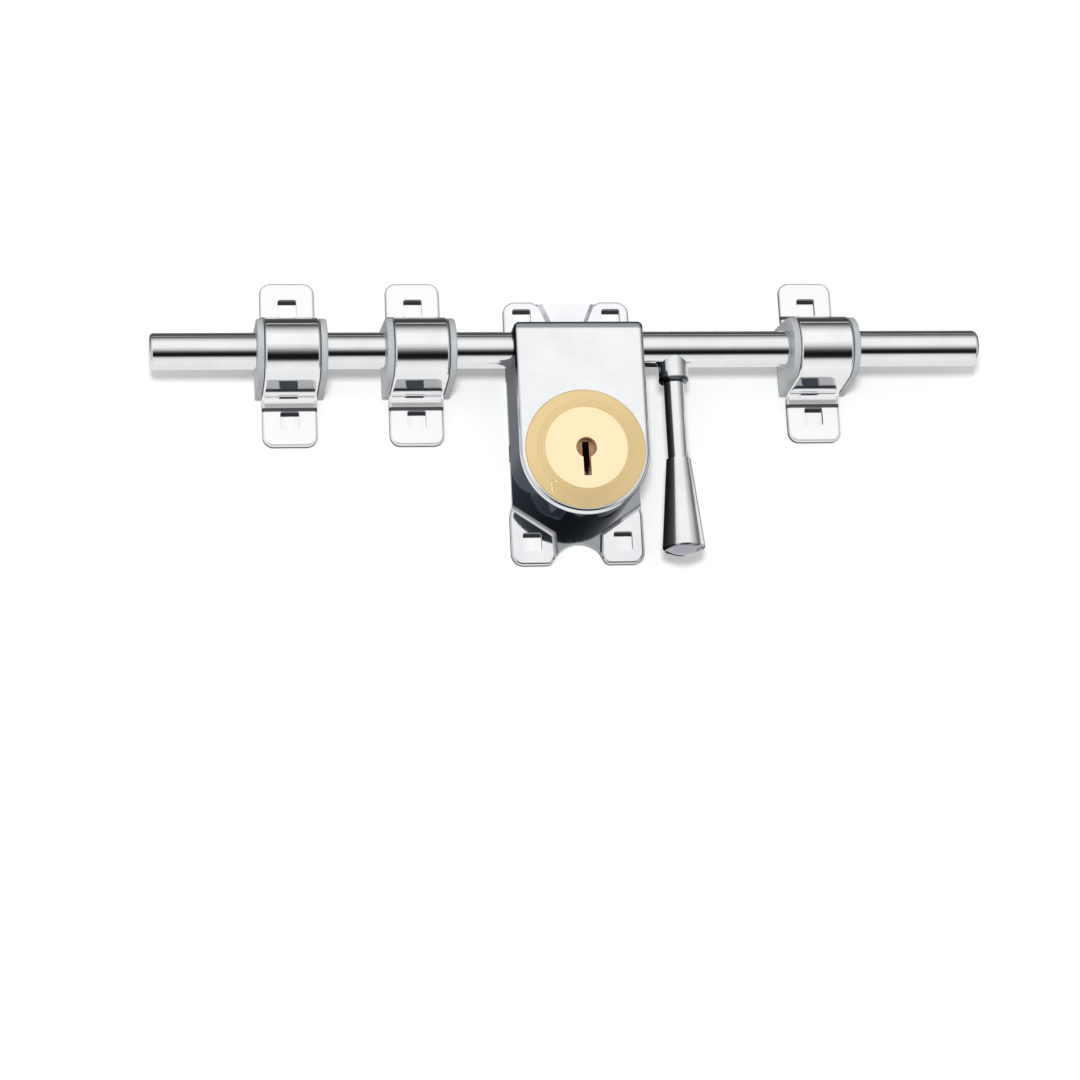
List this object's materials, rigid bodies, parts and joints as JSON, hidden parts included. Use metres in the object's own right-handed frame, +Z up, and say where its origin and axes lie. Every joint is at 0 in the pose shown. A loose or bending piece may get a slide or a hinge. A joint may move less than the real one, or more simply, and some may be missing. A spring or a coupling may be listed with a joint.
{
  "type": "rod lock",
  "caption": "Door rod lock: a round rod with a hanging handle slides and turns in strap brackets, and a key-worked lever lock on a back plate bolts it.",
  "frame": {"origin": "on the door face, straight behind the rod's axis at the middle of the lock case", "axes": "+X along the rod to the right, +Y into the door, +Z up"},
  "size_m": [0.3, 0.0302, 0.1067],
  "materials": {
    "plated_sheet": "bright chrome plate on pressed steel",
    "plated_case": "bright chrome plate on drawn steel",
    "plated_rod": "bright chrome plate on ground steel bar",
    "plated_handle": "satin bright chrome plate on turned steel",
    "face_brass": "turned and lacquered, bright in the middle",
    "inner_brass": "as turned",
    "lever_brass": "stamped sheet",
    "inner_steel": "zinc plated",
    "bolt_steel": "machined",
    "spring_steel": "blued spring steel",
    "bush_grey": "moulded, satin grey"
  },
  "bodies": {
    "lock_body": {"back_plate": "plated_sheet", "lock_case": "plated_case", "mechanism_plate": "inner_steel", "cap_plate": "inner_steel", "brass_disc": "face_brass", "disc_nut": "inner_brass", "guide_pillars": "inner_steel", "lever_pivot": "inner_steel", "lever_spacer": "inner_brass", "lever_stop": "inner_steel", "bracket_strap_left": "plated_sheet", "bracket_strap_middle": "plated_sheet", "bracket_strap_right": "plated_sheet", "bracket_bush_left": "bush_grey", "bracket_bush_middle": "bush_grey", "bracket_bush_right": "bush_grey"},
    "ring": {"stop_ring": "spring_steel"},
    "rod_and_handle": {"rod": "plated_rod", "handle_collar": "plated_handle", "handle_stem": "plated_handle", "handle_grip": "plated_handle"},
    "drum": {"key_drum": "inner_brass"},
    "bolt": {"locking_bolt": "bolt_steel"},
    "lever_body_1": {"lever_1": "lever_brass", "lever_spring_1": "spring_steel"},
    "lever_body_2": {"lever_2": "lever_brass", "lever_spring_2": "spring_steel"},
    "lever_body_3": {"lever_3": "lever_brass", "lever_spring_3": "spring_steel"},
    "lever_body_4": {"lever_4": "lever_brass", "lever_spring_4": "spring_steel"},
    "lever_body_5": {"lever_5": "lever_brass", "lever_spring_5": "spring_steel"},
    "lever_body_6": {"lever_6": "lever_brass", "lever_spring_6": "spring_steel"},
    "lever_body_7": {"lever_7": "lever_brass", "lever_spring_7": "spring_steel"}
  },
  "joints": [
    {"name": "rod_slide", "type": "slide", "parent": "lock_body", "child": "ring", "axis": [1, 0, 0], "range_m": [0, 0.037]},
    {"name": "rod_turn", "type": "hinge", "parent": "ring", "child": "rod_and_handle", "pos_m": [0, -0.0185, 0], "axis": [-1, 0, 0], "range_deg": [-8, 188]},
    {"name": "key_turn", "type": "hinge", "parent": "lock_body", "child": "drum", "pos_m": [0, -0.016, -0.0392], "axis": [0, -1, 0], "range_deg": [-360, 0]},
    {"name": "bolt_throw", "type": "slide", "parent": "lock_body", "child": "bolt", "axis": [0, 0, -1], "range_m": [-0.005, 0]},
    {"name": "lever_1_swing", "type": "hinge", "parent": "lock_body", "child": "lever_body_1", "pos_m": [-0.0153, -0.00815, -0.017], "axis": [0, 1, 0], "range_deg": [-4, 4], "stiffness_Nm_per_rad": 0.15, "deforming": ["lever_spring_1"]},
    {"name": "lever_2_swing", "type": "hinge", "parent": "lock_body", "child": "lever_body_2", "pos_m": [-0.0153, -0.00965, -0.017], "axis": [0, 1, 0], "range_deg": [-4, 4], "stiffness_Nm_per_rad": 0.15, "deforming": ["lever_spring_2"]},
    {"name": "lever_3_swing", "type": "hinge", "parent": "lock_body", "child": "lever_body_3", "pos_m": [-0.0153, -0.01115, -0.017], "axis": [0, 1, 0], "range_deg": [-4, 4], "stiffness_Nm_per_rad": 0.15, "deforming": ["lever_spring_3"]},
    {"name": "lever_4_swing", "type": "hinge", "parent": "lock_body", "child": "lever_body_4", "pos_m": [-0.0153, -0.01265, -0.017], "axis": [0, 1, 0], "range_deg": [-4, 4], "stiffness_Nm_per_rad": 0.15, "deforming": ["lever_spring_4"]},
    {"name": "lever_5_swing", "type": "hinge", "parent": "lock_body", "child": "lever_body_5", "pos_m": [-0.0153, -0.01415, -0.017], "axis": [0, 1, 0], "range_deg": [-4, 4], "stiffness_Nm_per_rad": 0.15, "deforming": ["lever_spring_5"]},
    {"name": "lever_6_swing", "type": "hinge", "parent": "lock_body", "child": "lever_body_6", "pos_m": [-0.0153, -0.01565, -0.017], "axis": [0, 1, 0], "range_deg": [-4, 4], "stiffness_Nm_per_rad": 0.15, "deforming": ["lever_spring_6"]},
    {"name": "lever_7_swing", "type": "hinge", "parent": "lock_body", "child": "lever_body_7", "pos_m": [-0.0153, -0.01715, -0.017], "axis": [0, 1, 0], "range_deg": [-4, 4], "stiffness_Nm_per_rad": 0.15, "deforming": ["lever_spring_7"]}
  ],
  "couplings": [
    {"joint": "key_turn", "follows": "bolt_throw", "rad_per_m": 1256.6}
  ]
}
